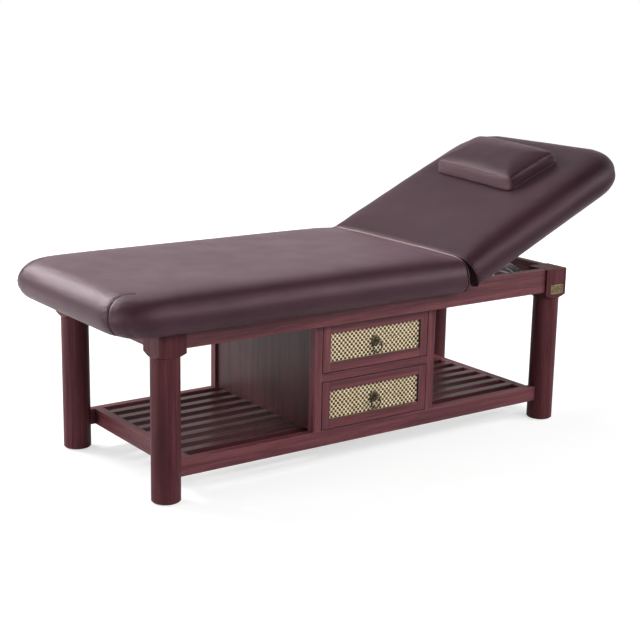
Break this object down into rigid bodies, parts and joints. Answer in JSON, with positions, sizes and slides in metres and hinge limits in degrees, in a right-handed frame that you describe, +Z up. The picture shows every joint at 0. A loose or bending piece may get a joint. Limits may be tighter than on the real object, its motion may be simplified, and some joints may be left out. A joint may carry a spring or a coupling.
{
  "type": "spa bed with cabinet base",
  "caption": "Wooden spa bed with round legs, slatted shelf, two-drawer cabinet, padded seat, tilting padded backrest and loose pillow.",
  "frame": {"origin": "on the floor, under the middle of the whole bed's outline with the backrest at its pictured angle", "axes": "+X towards the head end, +Y towards the back (the drawers face -Y), +Z up"},
  "size_m": [1.9102, 0.754, 0.9016],
  "materials": {
    "wood": "satin reddish-brown stain",
    "plywood": "plain plywood",
    "cover": "dark brown grained artificial leather over foam",
    "bronze": "antique bronze",
    "steel": "zinc-plated",
    "cane": "woven cane strips",
    "glide": "matte"
  },
  "bodies": {
    "bed": {"leg_front_foot": "wood", "leg_front_head": "wood", "leg_back_foot": "wood", "leg_back_head": "wood", "foot_glides": "glide", "apron_front": "wood", "apron_back": "wood", "apron_foot": "wood", "apron_head": "wood", "seat_cross_rail": "wood", "hinge_cross_rail": "wood", "shelf_rail_front": "wood", "shelf_rail_back": "wood", "shelf_rail_foot": "wood", "shelf_rail_head": "wood", "shelf_slats": "wood", "cabinet_post_front_foot": "wood", "cabinet_post_front_head": "wood", "cabinet_post_back_foot": "wood", "cabinet_post_back_head": "wood", "cabinet_side_foot": "wood", "cabinet_side_head": "wood", "cabinet_back_panel": "wood", "cabinet_mid_rail": "wood", "cabinet_floor": "plywood", "cabinet_top": "plywood", "drawer_runners": "plywood", "seat_board": "plywood", "seat_pad": "cover", "hinge_leaf_seat": "steel", "hinge_pin": "steel", "support_rack_front": "steel", "support_rack_back": "steel"},
    "backrest": {"backrest_board": "plywood", "backrest_pad": "cover", "hinge_leaf_backrest": "steel", "support_brackets": "steel", "support_pivot_pins": "steel"},
    "support": {"support_arms": "steel", "support_cross_rod": "steel"},
    "pillow": {"pillow": "cover"},
    "drawer_upper": {"drawer_upper_front": "wood", "drawer_upper_woven_panel": "cane", "drawer_upper_backing": "plywood", "drawer_upper_sides": "plywood", "drawer_upper_back": "plywood", "drawer_upper_bottom": "plywood", "drawer_upper_rosette": "bronze"},
    "ring_upper": {"drawer_upper_ring": "bronze"},
    "drawer_lower": {"drawer_lower_front": "wood", "drawer_lower_woven_panel": "cane", "drawer_lower_backing": "plywood", "drawer_lower_sides": "plywood", "drawer_lower_back": "plywood", "drawer_lower_bottom": "plywood", "drawer_lower_rosette": "bronze"},
    "ring_lower": {"drawer_lower_ring": "bronze"}
  },
  "joints": [
    {"name": "backrest_tilt", "type": "hinge", "parent": "bed", "child": "backrest", "pos_m": [0.2439, 0, 0.599], "axis": [0, -1, 0], "range_deg": [-24.5, 25.5]},
    {"name": "support_fold", "type": "hinge", "parent": "backrest", "child": "support", "pos_m": [0.44171, 0, 0.58695], "axis": [0, 1, 0], "range_deg": [-51.55, 53.65]},
    {"name": "pillow_lift", "type": "slide", "parent": "backrest", "child": "pillow", "axis": [-0.4147, 0, 0.91], "range_m": [0, 0.2]},
    {"name": "drawer_upper_slide", "type": "slide", "parent": "bed", "child": "drawer_upper", "axis": [0, -1, 0], "range_m": [0, 0.4]},
    {"name": "ring_upper_swing", "type": "hinge", "parent": "drawer_upper", "child": "ring_upper", "pos_m": [-0.0481, -0.296, 0.3675], "axis": [-1, 0, 0], "range_deg": [0, 95]},
    {"name": "drawer_lower_slide", "type": "slide", "parent": "bed", "child": "drawer_lower", "axis": [0, -1, 0], "range_m": [0, 0.4]},
    {"name": "ring_lower_swing", "type": "hinge", "parent": "drawer_lower", "child": "ring_lower", "pos_m": [-0.0481, -0.296, 0.1915], "axis": [-1, 0, 0], "range_deg": [0, 95]}
  ],
  "couplings": [
    {"joint": "support_fold", "follows": "backrest_tilt", "ratio": 2.1}
  ]
}
